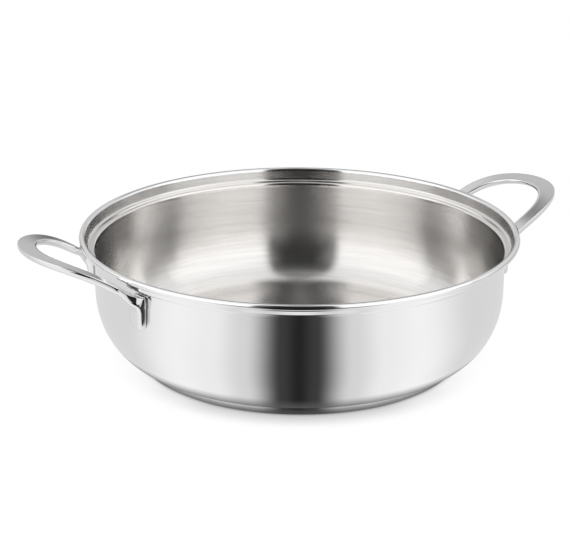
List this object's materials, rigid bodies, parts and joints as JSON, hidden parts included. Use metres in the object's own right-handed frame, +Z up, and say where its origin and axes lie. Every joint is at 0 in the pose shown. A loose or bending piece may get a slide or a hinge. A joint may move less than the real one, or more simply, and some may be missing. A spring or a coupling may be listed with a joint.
{
  "type": "saute pan",
  "caption": "Stainless saute pan: rounded bowl with a rolled rim and lid seat, capped heat-spreading base, and welded loop handles on opposite sides.",
  "frame": {"origin": "centre of the base's underside, on the surface that the pan stands on", "axes": "+Z up along the bowl's axis, X through the two handles, +X towards the handle_right node"},
  "size_m": [0.393, 0.3012, 0.101],
  "materials": {
    "bowl_steel": "mirror polished outside, fine circular brushing inside",
    "cap_steel": "polished edge, spun underside",
    "core_aluminium": "rolled, hidden inside the base",
    "handle_steel": "polished sides, satin flat top"
  },
  "bodies": {
    "root": {"bowl": "bowl_steel", "base_core": "core_aluminium", "base_cap": "cap_steel", "handle_right": "handle_steel", "handle_left": "handle_steel"}
  },
  "joints": []
}
